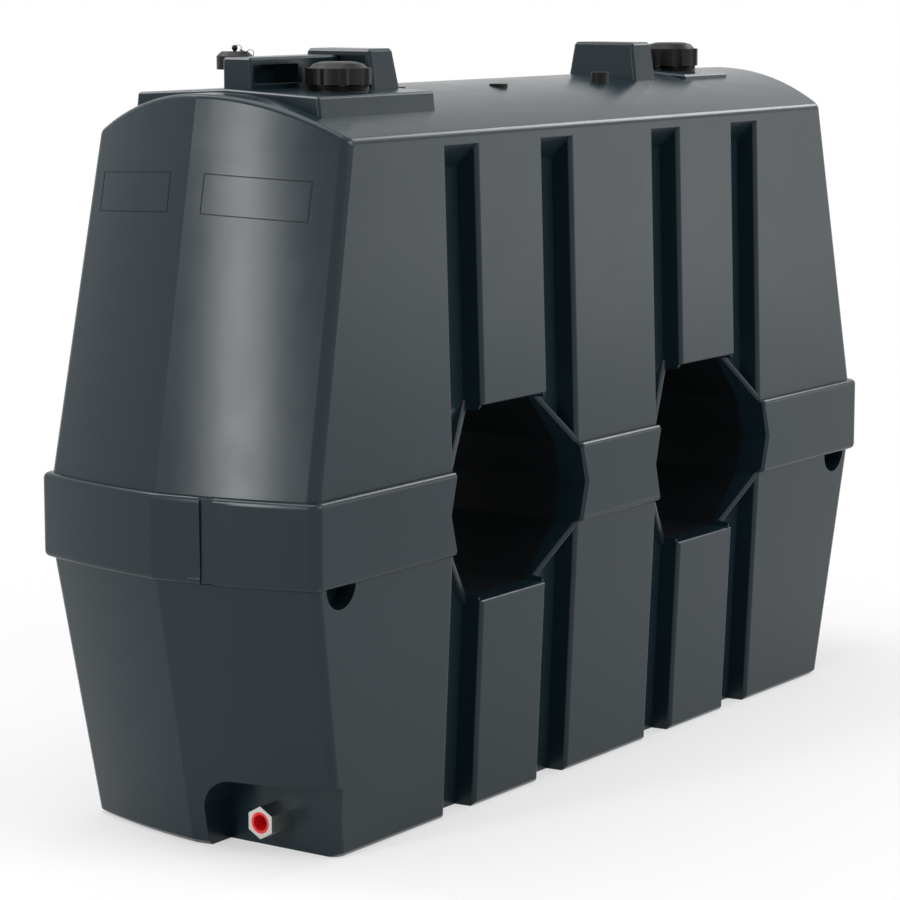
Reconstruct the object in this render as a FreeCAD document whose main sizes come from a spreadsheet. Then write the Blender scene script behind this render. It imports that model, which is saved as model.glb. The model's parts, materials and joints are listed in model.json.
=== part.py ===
"""Slimline water tank: a hollow one-skin moulding on a flat base, with bowed ends, a belt at the
widest level, upright channels in both long faces, two windows through the body, a vaulted roof
with its fillers, and a threaded outlet low on one end.

X runs along the tank, the front face looks to -Y, Z is up, and the origin is the middle of the base.
"""
import FreeCAD, Part
import os
import re
import Sketcher

SIZES = {
    # Walls: half lengths and half widths at the levels where the slopes change
    "wall": 7,
    "base_half_length": 897,
    "belt_half_length": 990,
    "eave_half_length": 862,
    "base_half_width": 280,
    "belt_half_width": 302,
    "eave_half_width": 283,
    "base_bow": 66,
    "belt_bow": 66,
    "eave_bow": 80,
    "end_sagitta": 9,
    "belt_bottom": 500,
    "belt_top": 656,
    "belt_proud": 13,
    "eave_height": 1268,
    "crown_height": 1344,
    "corner_radius": 24,
    "edge_share": 0.293,
    "mouth_radius": 9,
    "mouth_reach": 8,
    "flat_trim": 0.05,
    "belt_radius": 8,
    "foot_bevel": 8,
    "rim_radius": 8,
    "belt_rim_radius": 6,
    # Upright channels in the long faces
    "channel_inner_near": 152,
    "channel_inner_far": 252,
    "channel_outer_near": 472,
    "channel_outer_far": 571,
    "channel_depth": 42,
    "channel_draft": 4,
    "channel_top": 1247,
    "lead": 12,
    # Windows through the body
    "window_centre": 362,
    "window_flat": 104,
    "window_shoulder": 209,
    "window_reach": 230,
    "window_top": 763,
    "window_bottom": 398,
    "lining_half_depth": 250,
    "lining_flat_share": 0.45,
    "lining_side_share": 0.85,
    "lining_rise_share": 0.55,
    # Slices between the pieces of the moulding
    "floor_slice": 18,
    "end_slice": 26,
    "channel_slice": 18,
    "beyond": 1500,
    # Grips under the belt and the notch in the end of the belt
    "grip_place": 918,
    "grip_radius": 43,
    "grip_depth": 38,
    "notch_place": 112,
    "notch_width": 24,
    "notch_depth": 6.5,
    "notch_turn": 9.8,
    "notch_surface": 1053.5,
    # Outlet recess and fitting
    "recess_face": 896,
    "recess_side": 34,
    "recess_top": 130,
    "recess_radius": 62,
    "outlet_place": 143,
    "outlet_height": 57,
    "outlet_length": 54,
    "hexagon_radius": 30,
    "outlet_bore": 39,
    "plug_wall": 5,
    "plug_depth": 30,
    # Raised pads of the roof
    "pad_flare": 8,
    "pad_bevel": 4,
    "plinth_start": 846,
    "plinth_end": 494,
    "plinth_half_width": 205,
    "plinth_edge": 1340,
    "plinth_crown": 1350,
    "hatch_start": 548,
    "hatch_end": 729,
    "hatch_near": 125,
    "hatch_far": 75,
    "hatch_edge": 1339,
    "hatch_crown": 1348,
    # Turrets and the guard box between the left turret and the end
    "turret_foot_length": 84,
    "turret_top_length": 72,
    "turret_width": 171,
    "turret_slope": 14,
    "turret_pocket": 12,
    "turret_rim": 12,
    "turret_bevel": 5,
    "left_turret_start": 577,
    "left_turret_near": 129,
    "left_turret_foot": 1340,
    "left_turret_top": 1416,
    "right_turret_start": 358,
    "right_turret_near": 121,
    "right_turret_foot": 1318,
    "right_turret_top": 1410,
    "guard_start": 830,
    "guard_near": 43,
    "guard_far": 20,
    "guard_top": 1405,
    "guard_bevel": 4,
    "guard_pocket_start": 820,
    "guard_pocket_end": 690,
    "guard_pocket_low": 1358,
    "guard_pocket_high": 1392,
    "guard_pocket_depth": 45,
    # Screw caps and their necks
    "cap_radius": 60,
    "cap_ledge_radius": 53.5,
    "cap_crown_radius": 40,
    "cap_skin": 5,
    "flute_radius": 16,
    "flute_place": 70,
    "flutes": 8,
    "collar_radius": 54,
    "neck_radius": 51,
    "left_cap_x": -676,
    "left_cap_y": -122,
    "left_cap_foot": 1356,
    "left_cap_shoulder": 29,
    "left_cap_height": 40,
    "right_cap_x": 655,
    "right_cap_y": -25,
    "right_cap_foot": 1355,
    "right_cap_shoulder": 36,
    "right_cap_height": 49,
    # Vent behind the guard box
    "vent_x": -749,
    "vent_y": 56,
    "vent_radius": 20,
    "vent_skirt_low": 1381,
    "vent_skirt_radius": 33,
    "vent_skirt_height": 24,
    "vent_crown_radius": 24,
    "vent_crown_height": 8,
    "vent_stem_radius": 3,
    "vent_stem_height": 4,
    # Plugs in the roof
    "first_plug_x": -440,
    "first_plug_y": -80,
    "first_plug_radius": 18,
    "first_plug_top": 1343,
    "second_plug_x": -122,
    "second_plug_y": -98,
    "second_plug_radius": 18,
    "second_plug_top": 1340,
    "third_plug_x": 235,
    "third_plug_y": -108,
    "third_plug_radius": 18,
    "third_plug_top": 1353,
}

doc = FreeCAD.newDocument("SlimlineTank")
sheet = doc.addObject("Spreadsheet::Sheet", "Sizes")
for row, (alias, value) in enumerate(SIZES.items(), start=1):
    sheet.set(f"A{row}", alias)
    sheet.set(f"B{row}", str(value))
    sheet.setAlias(f"B{row}", alias)
doc.recompute()

NODES = []
CHANNELS = (
    ("channel_inner_near", "channel_inner_far"),
    ("channel_outer_near", "channel_outer_far"),
)


def cells(text):
    """The expression with every alias written as a cell of the sheet."""
    return re.sub(r"[a-z_]+", lambda m: f"Sizes.{m[0]}" if m[0] in SIZES else m[0], text)


def number(text):
    """The value that an expression on the sheet has now."""
    return float(sheet.evalExpression(cells(text)))


def bind(obj, **links):
    """Bind properties of an object to expressions on the sheet."""
    for name, text in links.items():
        obj.setExpression(name, cells(text))
    return obj


def place(obj, x="0", y="0", z="0", axis=(0, 0, 1), angle="0"):
    """Bind an object's place, and its turn about an axis in degrees."""
    turn = "rotation(vector({}; {}; {}); {})".format(*axis, cells(angle))
    obj.setExpression("Placement", f"placement(vector({cells(x)}; {cells(y)}; {cells(z)}); {turn})")
    return obj


def node(obj, label):
    """Name an object as a sub-part that gets a file of its own."""
    obj.Label = label
    NODES.append(obj)
    return obj


def box(name, x, y, z):
    """A block between pairs of expressions along X, Y and Z."""
    block = doc.addObject("Part::Box", name)
    bind(block, Length=f"{x[1]} - ({x[0]})", Width=f"{y[1]} - ({y[0]})", Height=f"{z[1]} - ({z[0]})")
    return place(block, x[0], y[0], z[0])


def cylinder(name, radius, height, x="0", y="0", z="0", axis=(0, 0, 1), angle="0"):
    """A cylinder that starts at a place and runs along its turned axis."""
    rod = doc.addObject("Part::Cylinder", name)
    bind(rod, Radius=radius, Height=height)
    return place(rod, x, y, z, axis, angle)


def cut(name, base, tool):
    """The base without the tool."""
    result = doc.addObject("Part::Cut", name)
    result.Base = base
    result.Tool = tool
    return result


def common(name, base, tool):
    """What the base and the tool share."""
    result = doc.addObject("Part::Common", name)
    result.Base = base
    result.Tool = tool
    return result


def fuse(name, shapes):
    """Several shapes joined."""
    result = doc.addObject("Part::MultiFuse", name)
    result.Shapes = shapes
    return result


def mirrored(name, source, normal):
    """The mirror image of a shape in a plane through the origin."""
    result = doc.addObject("Part::Mirroring", name)
    result.Source = source
    result.Normal = normal
    return result


def eased(name, base, size_of, kind="Part::Fillet"):
    """A copy of a shape with rounded or, as a Part::Chamfer, bevelled edges.

    size_of takes an edge's two ends and gives its radius, or 0 for an edge that stays sharp.
    """
    doc.recompute()
    edges = []
    for index, edge in enumerate(base.Shape.Edges, start=1):
        if len(edge.Vertexes) == 2:
            size = size_of(edge.Vertexes[0].Point, edge.Vertexes[1].Point)
            if size > 0:
                edges.append((index, size, size))
    result = doc.addObject(kind, name)
    result.Base = base
    result.Edges = edges
    return result


def profile(name, points, radii=None, holder=None, hollows=()):
    """A closed sketch whose corners are pairs of expressions, taken anticlockwise.

    Each side is straight, or an arc where radii gives a radius for it. Arcs bulge outwards, or inwards for
    the sides in hollows.
    """
    make = holder.newObject if holder else doc.addObject
    sketch = make("Sketcher::SketchObject", name)
    radii = radii or {}
    spots = [FreeCAD.Vector(number(u), number(v), 0) for u, v in points]
    count = len(points)
    for index, start in enumerate(spots):
        end = spots[(index + 1) % count]
        if index in radii:
            chord = end - start
            radius = number(radii[index])
            rise = radius - (radius ** 2 - chord.Length ** 2 / 4) ** 0.5
            outward = FreeCAD.Vector(chord.y, -chord.x, 0).normalize()
            bulge = outward * (-rise if index in hollows else rise)
            sketch.addGeometry(Part.Arc(start, (start + end) * 0.5 + bulge, end))
        else:
            sketch.addGeometry(Part.LineSegment(start, end))
    starts = [2 if index in hollows else 1 for index in range(count)]
    for index, start in enumerate(starts):
        following = (index + 1) % count
        joint = ("Coincident", index, 3 - start, following, starts[following])
        sketch.addConstraint(Sketcher.Constraint(*joint))
    limits = [("Radius", index, None, text) for index, text in radii.items()]
    for index, (u, v) in enumerate(points):
        limits += [("DistanceX", index, starts[index], u), ("DistanceY", index, starts[index], v)]
    for kind, index, end, text in limits:
        where = (index,) if end is None else (index, end)
        row = sketch.addConstraint(Sketcher.Constraint(kind, *where, number(text)))
        sketch.setExpression(f"Constraints[{row}]", cells(text))
    return sketch


def extruded(name, sketch, direction, length):
    """A prism of a sketch, the same length to both sides of it."""
    prism = doc.addObject("Part::Extrusion", name)
    prism.Base = sketch
    prism.DirMode = "Custom"
    prism.Dir = direction
    prism.Solid = True
    prism.Symmetric = True
    return bind(prism, LengthFwd=length)


def lofted(name, outlines):
    """A solid with straight generators through level outlines."""
    solid = doc.addObject("Part::Loft", name)
    solid.Sections = outlines
    solid.Solid = True
    solid.Ruled = True
    solid.Linearize = True
    return solid


def doubled(name, half):
    """A front half joined with its mirror image behind the middle plane."""
    return fuse(name, [half, mirrored(f"{name}_back_half", half, (0, 1, 0))])


def outline(name, height, length, width, bow, corner):
    """The front half of a level outline: a straight side, rounded corners and bowed ends up to the crease."""
    chord = f"sqrt(({width})^2 + ({bow})^2)"
    tilt = f"4 * end_sagitta / {chord}"
    ahead = f"(({bow}) + {tilt} * ({width})) / {chord}"
    aside = f"(({width}) - {tilt} * ({bow})) / {chord}"
    reach = f"({corner}) * (1 - {ahead}) / ({aside})"
    straight = f"({length}) - {reach}"
    turned = (f"({length}) + {reach} * {ahead}", f"-({width}) + {reach} * {aside}")
    crease = f"({length}) + {bow}"
    points = [
        (f"-({straight})", f"-({width})"),
        (straight, f"-({width})"),
        turned,
        (crease, "0"),
        (f"-({crease})", "0"),
        (f"-({turned[0]})", turned[1]),
    ]
    end_radius = f"((({width})^2 + ({bow})^2) / 4 + end_sagitta^2) / (2 * end_sagitta)"
    radii = {1: corner, 2: end_radius, 4: end_radius, 5: corner}
    return place(profile(name, points, radii), z=height)


def inner_outline(name, height, length, width, bow):
    """The front half of a level outline of the hollow, where each half end is two flat facets."""
    chord = f"sqrt(({width})^2 + ({bow})^2)"
    middle_x = f"({length}) + ({bow}) / 2 + end_sagitta * ({width}) / {chord}"
    middle_y = f"-({width}) / 2 - end_sagitta * ({bow}) / {chord}"
    crease = f"({length}) + {bow}"
    points = [
        (f"-({length})", f"-({width})"),
        (length, f"-({width})"),
        (middle_x, middle_y),
        (crease, "0"),
        (f"-({crease})", "0"),
        (f"-({middle_x})", middle_y),
    ]
    return place(profile(name, points), z=height)


def channel_block(name, low, high, tier, grow):
    """A plain channel cutter of the front: a mouth in the leaning face, drafted sides and a ramp on top.

    grow is the wall that the cutter leaves around the channel in the hollow.
    """
    wedge = doc.addObject("Part::Wedge", name)
    flare = "channel_draft * lead / channel_depth"
    bind(
        wedge,
        Ymin="-lead",
        Ymax=f"channel_depth + {grow}",
        Xmin=f"{low} - {flare} - {grow}",
        Xmax=f"{high} + {flare} + {grow}",
        X2min=f"{low} + channel_draft - {grow}",
        X2max=f"{high} - channel_draft + {grow}",
    )
    if tier == "upper":
        rise = "channel_top - belt_top"
        bind(wedge, Zmin="-lead", Z2min="-lead")
        bind(wedge, Zmax=f"{rise} + lead + {grow}", Z2max=f"{rise} - channel_depth + {grow}")
    else:
        bind(wedge, Zmin="-belt_bottom - lead", Z2min="-belt_bottom - lead", Zmax="lead", Z2max="lead")
    return lean(wedge, tier)


def lean(obj, tier):
    """Place a cutter on the front face of a tier, where the face meets the belt."""
    if tier == "upper":
        angle = "-atan((belt_half_width - eave_half_width) / (eave_height - belt_top))"
        return place(obj, y="-belt_half_width", z="belt_top", axis=(1, 0, 0), angle=angle)
    angle = "atan((belt_half_width - base_half_width) / belt_bottom)"
    return place(obj, y="-belt_half_width", z="belt_bottom", axis=(1, 0, 0), angle=angle)


def channel(name, low, high, tier):
    """The cutter of one channel with a rounded mouth, between two distances along X."""
    draft = "channel_draft * mouth_reach / channel_depth"
    points = [
        (f"{low} - mouth_reach", "-lead"),
        (f"{high} + mouth_reach", "-lead"),
        (f"{high} + mouth_reach", "0"),
        (f"{high} - {draft}", "mouth_reach"),
        (f"{high} - channel_draft", "channel_depth"),
        (f"{low} + channel_draft", "channel_depth"),
        (f"{low} + {draft}", "mouth_reach"),
        (f"{low} - mouth_reach", "0"),
    ]
    section = profile(f"{name}_section", points, {2: "mouth_radius", 6: "mouth_radius"}, hollows=(2, 6))
    trumpet = doc.addObject("Part::Extrusion", f"{name}_trumpet")
    trumpet.Base = lean(section, tier)
    trumpet.DirMode = "Normal"
    trumpet.Solid = True
    trumpet.Symmetric = True
    bind(trumpet, LengthFwd="beyond")
    wide = channel_block(f"{name}_block", f"{low} - 2 * mouth_reach", f"{high} + 2 * mouth_reach", tier, "0")
    return common(name, trumpet, wide)


def channels(tier, kind):
    """The four channel cutters of the front of one tier, for its skin or its hollow."""
    cutters = []
    for near, far in CHANNELS:
        for low, high in ((near, far), (f"-{far}", f"-{near}")):
            name = f"{tier}_{kind}_channel"
            if kind == "skin":
                cutters.append(channel(name, low, high, tier))
            else:
                cutters.append(channel_block(name, low, high, tier, "wall"))
    return fuse(f"{tier}_{kind}_channels", cutters)


def window(name, side, grow):
    """The ten-sided prism of one window, through the body, grown outwards by a wall."""
    middle = f"{side} * window_centre"
    belt_middle = "(belt_bottom + belt_top) / 2"
    half = [
        ("window_flat + lining_flat_share * {}", "window_bottom - {}"),
        ("window_shoulder + lining_side_share * {}", "belt_bottom - lining_rise_share * {}"),
        ("window_reach + {}", belt_middle),
        ("window_shoulder + lining_side_share * {}", "belt_top + lining_rise_share * {}"),
        ("window_flat + lining_flat_share * {}", "window_top + {}"),
    ]
    half = [(u.format(grow), v.format(grow)) for u, v in half]
    points = [(f"{middle} + {u}", v) for u, v in half]
    points += [(f"{middle} - ({u})", v) for u, v in reversed(half)]
    sketch = place(profile(f"{name}_outline", points), axis=(1, 0, 0), angle="90")
    return extruded(name, sketch, (0, 1, 0), "beyond")


def vault(name, inset):
    """The long cylinder whose top is the roof, inset by a wall."""
    rise = "(crown_height - eave_height)"
    radius = f"(eave_half_width^2 + {rise}^2) / (2 * {rise})"
    return cylinder(
        name,
        f"{radius} - {inset}",
        "2 * beyond",
        x="-beyond",
        z=f"crown_height - ({radius})",
        axis=(0, 1, 0),
        angle="90",
    )


def tier_outline(tier, kind, height, inset):
    """The half outline of a tier's leaning walls at a height, inset from them."""
    if tier == "lower":
        far, share = "base", f"({height}) / belt_bottom"
    else:
        far, share = "eave", f"(eave_height - ({height})) / (eave_height - belt_top)"
    length = f"{far}_half_length + (belt_half_length - {far}_half_length) * {share} - ({inset})"
    width = f"{far}_half_width + (belt_half_width - {far}_half_width) * {share} - ({inset})"
    bow = f"({far}_bow + (belt_bow - {far}_bow) * {share})"
    name = f"{tier}_{kind}_outline"
    if kind == "skin":
        return outline(name, height, length, width, bow, "corner_radius")
    return inner_outline(name, height, length, width, bow)


def flat_front(tier, kind, inset):
    """The slab behind the flat leaning front of a tier."""
    far, low, high = ("base", "0", "belt_bottom") if tier == "lower" else ("eave", "eave_height", "belt_top")
    slope = f"(belt_half_width - {far}_half_width) / ({high} - {low})"
    points = [
        (f"-{far}_half_width + {inset} + ({low} + beyond) * {slope}", "-beyond"),
        ("beyond", "-beyond"),
        ("beyond", "beyond"),
        (f"-{far}_half_width + {inset} + ({low} - beyond) * {slope}", "beyond"),
    ]
    sketch = place(profile(f"{tier}_{kind}_front_profile", points), axis=(1, 1, 1), angle="120")
    return extruded(f"{tier}_{kind}_front", sketch, (1, 0, 0), "2 * beyond")


def tier_loft(tier, kind, levels):
    """The front half of a tier's plain body through outlines at heights, each inset by a step."""
    outlines = [tier_outline(tier, kind, height, f"{step} - flat_trim") for height, step in levels]
    return lofted(f"{tier}_{kind}_loft", outlines)


def lower_half(kind):
    """The front half of the lower tier, with a bevelled foot outside, or inset by the wall inside."""
    if kind == "skin":
        inset, levels = "0", [("0", "foot_bevel"), ("foot_bevel", "0"), ("belt_bottom", "0")]
    else:
        inset, levels = "wall", [("wall", "wall"), ("belt_bottom", "wall")]
    return common(f"lower_{kind}_half", tier_loft("lower", kind, levels), flat_front("lower", kind, inset))


def upper_half(kind):
    """The front half of the upper tier under its vault, outside or inset by the wall."""
    inset = "0" if kind == "skin" else "wall"
    levels = [(height, inset) for height in ("belt_top", "channel_top", "crown_height + lead")]
    vaulted = common(f"upper_{kind}_vaulted", tier_loft("upper", kind, levels), vault(f"{kind}_vault", inset))
    return common(f"upper_{kind}_half", vaulted, flat_front("upper", kind, inset))


def soft_edge(radius):
    """Heights above a rounded edge, with how far the wall stands in there."""
    return [("0", radius), (f"edge_share * {radius}", f"edge_share * {radius}"), (radius, "0")]


def belt_block(name, grow, levels, kind):
    """The front half of the belt's block, with its outline grown from the wall at each level."""
    outlines = []
    for height, inset in levels:
        length = f"belt_half_length + {grow} - ({inset})"
        width = f"belt_half_width + {grow} - ({inset})"
        sizes = (height, length, width, "belt_bow")
        if kind == "skin":
            outlines.append(outline(f"{name}_outline", *sizes, "corner_radius"))
        else:
            outlines.append(inner_outline(f"{name}_outline", *sizes))
    return lofted(name, outlines)


def grips(name, grow):
    """The four half-round finger grips under the belt, near the corners."""
    front = []
    for side in ("", "-"):
        front.append(
            cylinder(
                f"{name}_grip",
                f"grip_radius + {grow}",
                f"grip_depth + lead + {grow}",
                x=f"{side}grip_place",
                y="-belt_half_width - lead",
                z="belt_bottom",
                axis=(1, 0, 0),
                angle="-90",
            )
        )
    front = fuse(f"{name}_front", front)
    return fuse(name, [front, mirrored(f"{name}_back", front, (0, 1, 0))])


def outlet_recess(name, grow):
    """The recess round the outlet: open below and at the front corner, with an arched inner corner."""
    block = box(
        f"{name}_block",
        ("-beyond", f"-recess_face + {grow}"),
        ("-beyond", f"-recess_side + {grow}"),
        ("-lead", f"recess_top + {grow}"),
    )
    side = number(f"-recess_side + {grow}")
    top = number(f"recess_top + {grow}")
    radius = number(f"recess_radius + {grow}")

    def arch(start, end):
        along = all(abs(p.y - side) < 0.1 and abs(p.z - top) < 0.1 for p in (start, end))
        return radius if along else 0

    return eased(name, block, arch)


def face_half_width(tier, height):
    """Half the width between the long outer faces of a tier at a height."""
    if tier == "lower":
        return f"(base_half_width + (belt_half_width - base_half_width) * {height} / belt_bottom)"
    share = f"(eave_height - {height}) / (eave_height - belt_top)"
    return f"(eave_half_width + (belt_half_width - eave_half_width) * {share})"


def belt_rim_radius(start, end):
    """Radius of the edges of the belt round the windows."""
    span = end - start
    near = max(abs(start.x), abs(end.x)) < number("window_centre + window_reach + lead")
    outside = min(abs(start.y), abs(end.y)) > number("lining_half_depth")
    standing = abs(span.z) > 0.5 and abs(span.y) < 2 * number("lead")
    return number("belt_rim_radius") if near and outside and standing else 0


def rim_tool(tier):
    """The cutter that rounds the window edges of the front and back panels of a tier."""
    if tier == "upper":
        face = face_half_width(tier, "window_top")
        middle = "window_top + rim_radius"
        levels = ("window_top - lead", middle)
    else:
        face = face_half_width(tier, "window_bottom")
        middle = "window_bottom - rim_radius"
        levels = (middle, "window_bottom + lead")
    tools = []
    for side in ("-1", "1"):
        centre = f"{side} * window_centre"
        span = (f"{centre} - window_flat - lead", f"{centre} + window_flat + lead")
        bar = box(f"{tier}_rim_bar", span, (f"-{face} - lead", f"-{face} + rim_radius"), levels)
        rod = cylinder(
            f"{tier}_rim_rod",
            "rim_radius",
            f"{span[1]} - ({span[0]})",
            x=span[0],
            y=f"-{face} + rim_radius",
            z=middle,
            axis=(0, 1, 0),
            angle="90",
        )
        tools.append(cut(f"{tier}_rim_cutter", bar, rod))
    front = fuse(f"{tier}_rim_front", tools)
    return fuse(f"{tier}_rim_tool", [front, mirrored(f"{tier}_rim_back", front, (0, 1, 0))])


def belt_notch():
    """The shallow upright notch in the belt on the left end."""
    notch = doc.addObject("Part::Box", "belt_notch")
    bind(notch, Length="lead + notch_depth", Width="notch_width", Height="2 * belt_top")
    return place(notch, x="-notch_surface - lead", y="-notch_place - notch_width / 2", angle="notch_turn")


# The outer form of the moulding, tier by tier
windows = fuse("windows", [window("left_window", "-1", "0"), window("right_window", "1", "0")])
roof_form = vault("roof_form", "0")
lower_ribbed = cut("lower_ribbed", lower_half("skin"), channels("lower", "skin"))
lower_open = cut("lower_open", lower_ribbed, windows)
lower_tools = [grips("skin_grips", "0"), outlet_recess("skin_outlet_recess", "0"), rim_tool("lower")]
lower_form = cut("lower_form", doubled("lower_whole", lower_open), fuse("lower_tools", lower_tools))
upper_ribbed = cut("upper_ribbed", upper_half("skin"), channels("upper", "skin"))
upper_open = cut("upper_open", upper_ribbed, windows)
upper_form = cut("upper_form", doubled("upper_whole", upper_open), rim_tool("upper"))
belt_edge = soft_edge("belt_radius")
belt_levels = [(f"belt_bottom + {height}", inset) for height, inset in belt_edge]
belt_levels += [(f"belt_top - {height}", inset) for height, inset in reversed(belt_edge)]
belt_open = cut("belt_open", belt_block("belt_front_half", "belt_proud", belt_levels, "skin"), windows)
belt_rimmed = eased("belt_rimmed", belt_open, belt_rim_radius, "Part::Chamfer")
belt_form = cut("belt_form", doubled("belt_whole", belt_rimmed), belt_notch())

# The hollow inside it, which leaves the wall round every recess
lower_room = cut("lower_room", lower_half("hollow"), channels("lower", "hollow"))
upper_room = cut("upper_room", upper_half("hollow"), channels("upper", "hollow"))
belt_core = belt_block("belt_core", "0", [("belt_bottom", "wall"), ("belt_top", "wall")], "hollow")
pocket_levels = [("belt_bottom + wall", "wall"), ("belt_top - wall", "wall")]
belt_pocket = belt_block("belt_pocket", "belt_proud", pocket_levels, "hollow")
room = doubled("room", fuse("front_room", [lower_room, belt_core, belt_pocket, upper_room]))
linings = fuse("linings", [window("left_lining", "-1", "wall"), window("right_lining", "1", "wall")])
kept = [grips("hollow_grips", "wall"), outlet_recess("hollow_outlet_recess", "wall"), linings]
hollow = cut("hollow", room, fuse("kept", kept))
lower_shell = cut("lower_shell", lower_form, hollow)
belt_shell = cut("belt_shell", belt_form, hollow)
upper_shell = cut("upper_shell", upper_form, hollow)
moulding = fuse("moulding", [lower_shell, belt_shell, upper_shell])

# The moulding is sliced into its walls, level by level
ALL = ("-beyond", "beyond")
FRONT = ("-beyond", "0")
BACK = ("0", "beyond")
LEVELS = {"lower": ("floor_slice", "belt_bottom"), "upper": ("belt_top", "channel_top")}
lining_slab = box("lining_slab", ALL, ("-lining_half_depth", "lining_half_depth"), ALL)
lining_zone = common("lining_zone", linings, lining_slab)
walls = cut("walls", moulding, lining_zone)
lining = common("lining", moulding, lining_zone)


def piece(label, source, regions):
    """A named sub-part: what a source shape has inside one region or several."""
    region = regions[0] if len(regions) == 1 else fuse(f"{label}_region", regions)
    return node(common(f"{label}_piece", source, region), label)


def end_region(tier):
    """The block beyond the leaning slice behind the left end of a tier."""
    block = doc.addObject("Part::Box", f"{tier}_end_region")
    bind(block, Length="beyond", Width="2 * beyond", Height="2 * beyond")
    if tier == "upper":
        lean = "atan((belt_half_length - eave_half_length) / (eave_height - belt_top))"
        foot = ("belt_half_length", "belt_top")
    else:
        lean = "-atan((belt_half_length - base_half_length) / belt_bottom)"
        foot = ("base_half_length", "0")
    return place(
        block,
        x=f"end_slice - {foot[0]} - beyond * cos({lean}) - beyond * sin({lean})",
        y="-beyond",
        z=f"{foot[1]} + beyond * sin({lean}) - beyond * cos({lean})",
        axis=(0, 1, 0),
        angle=lean,
    )


def channel_spans():
    """The stretches along X that the channels and their returns take up."""
    spans = []
    for near, far in CHANNELS:
        spans.append((f"{near} - channel_slice", f"{far} + channel_slice"))
        spans.append((f"-{far} - channel_slice", f"-{near} + channel_slice"))
    return spans


PANEL_SPANS = [
    ("-channel_outer_near + channel_slice", "-channel_inner_far - channel_slice"),
    ("-channel_inner_near + channel_slice", "channel_inner_near - channel_slice"),
    ("channel_inner_far + channel_slice", "channel_outer_near - channel_slice"),
]
CORNER_SPANS = [
    ("-beyond", "-channel_outer_far - channel_slice"),
    ("channel_outer_far + channel_slice", "beyond"),
]
SIDE_SPANS = {"corner_panels": CORNER_SPANS, "panels": PANEL_SPANS, "channels": channel_spans()}

piece("base_floor", walls, [box("floor_region", ALL, ALL, ("-beyond", "floor_slice"))])
piece("roof", walls, [box("roof_region", ALL, ALL, ("channel_top", "2 * beyond"))])
for tier, level in LEVELS.items():
    left_region = end_region(tier)
    right_region = mirrored(f"right_{tier}_end_region", left_region, (1, 0, 0))
    level_walls = common(f"{tier}_walls", walls, box(f"{tier}_level", ALL, ALL, level))
    piece(f"left_end_{tier}", level_walls, [left_region])
    piece(f"right_end_{tier}", level_walls, [right_region])
    sides = cut(f"{tier}_sides", level_walls, fuse(f"{tier}_end_regions", [left_region, right_region]))
    for face, depth in (("front", FRONT), ("back", BACK)):
        for kind, spans in SIDE_SPANS.items():
            label = f"{face}_{tier}_{kind}"
            regions = [box(f"{label}_{index}", span, depth, level) for index, span in enumerate(spans)]
            piece(label, sides, regions)

belt_level = ("belt_bottom", "belt_top")
belt_walls = common("belt_walls", walls, box("belt_region", ALL, ALL, belt_level))
piece("belt_left", belt_walls, [box("belt_left_region", ("-beyond", "-window_centre"), ALL, belt_level)])
piece("belt_right", belt_walls, [box("belt_right_region", ("window_centre", "beyond"), ALL, belt_level)])
for face, depth in (("front", FRONT), ("back", BACK)):
    middle = box(f"belt_{face}_region", ("-window_centre", "window_centre"), depth, belt_level)
    piece(f"belt_{face}_middle", belt_walls, [middle])

for hand, side in (("left", "-1"), ("right", "1")):
    centre = f"{side} * window_centre"
    within = (f"{centre} - window_flat", f"{centre} + window_flat")
    outside = ((f"{centre} - beyond", within[0]), (within[1], f"{centre} + beyond"))
    bay = (f"{centre} - window_centre", f"{centre} + window_centre")
    lows = ("-beyond", "belt_bottom")
    highs = ("belt_top", "beyond")
    hand_lining = common(f"{hand}_lining_walls", lining, box(f"{hand}_bay", bay, ALL, ALL))
    piece(f"{hand}_window_head", hand_lining, [box(f"{hand}_head_region", within, ALL, highs)])
    piece(f"{hand}_window_sill", hand_lining, [box(f"{hand}_sill_region", within, ALL, lows)])
    corners = [box(f"{hand}_haunch_region", span, ALL, level) for span in outside for level in (lows, highs)]
    piece(f"{hand}_window_haunches", hand_lining, corners)
    piece(f"{hand}_window_jambs", hand_lining, [box(f"{hand}_jamb_region", ALL, ALL, belt_level)])

# Raised pads of the roof


def seated(name, raw, seat):
    """A raised piece with its foot shaped by what it stands on."""
    return cut(name, raw, seat)


def bevelled(name, block, foot, bevel):
    """A raised block with every edge bevelled but its ridge and those round its foot."""
    level = number(f"{foot} + 1")

    def bevel_of(start, end):
        ridge = max(abs(start.y), abs(end.y)) < 1
        at_foot = max(start.z, end.z) < level
        return 0 if ridge or at_foot else number(bevel)

    return eased(name, block, bevel_of, "Part::Chamfer")


def pad(name, low, high, near, far, edge, crown):
    """A pad on the roof between two places along X, with a slight ridge on top and flared sides."""
    points = [
        (f"-{near} - pad_flare", "eave_height"),
        (f"{far} + pad_flare", "eave_height"),
        (far, edge),
        ("0", crown),
        (f"-{near}", edge),
    ]
    sketch = place(profile(f"{name}_profile", points), x=f"({low} + {high}) / 2", axis=(1, 1, 1), angle="120")
    prism = extruded(f"{name}_prism", sketch, (1, 0, 0), f"{high} - ({low})")
    return bevelled(name, prism, "eave_height", "pad_bevel")


half_width = "plinth_half_width"
plinth = pad("plinth", "-plinth_start", "-plinth_end", half_width, half_width, "plinth_edge", "plinth_crown")
node(seated("left_pad_piece", plinth, roof_form), "left_roof_pad")
hatch = pad("hatch", "hatch_start", "hatch_end", "hatch_near", "hatch_far", "hatch_edge", "hatch_crown")
node(seated("right_pad_piece", hatch, roof_form), "right_roof_pad")


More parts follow.
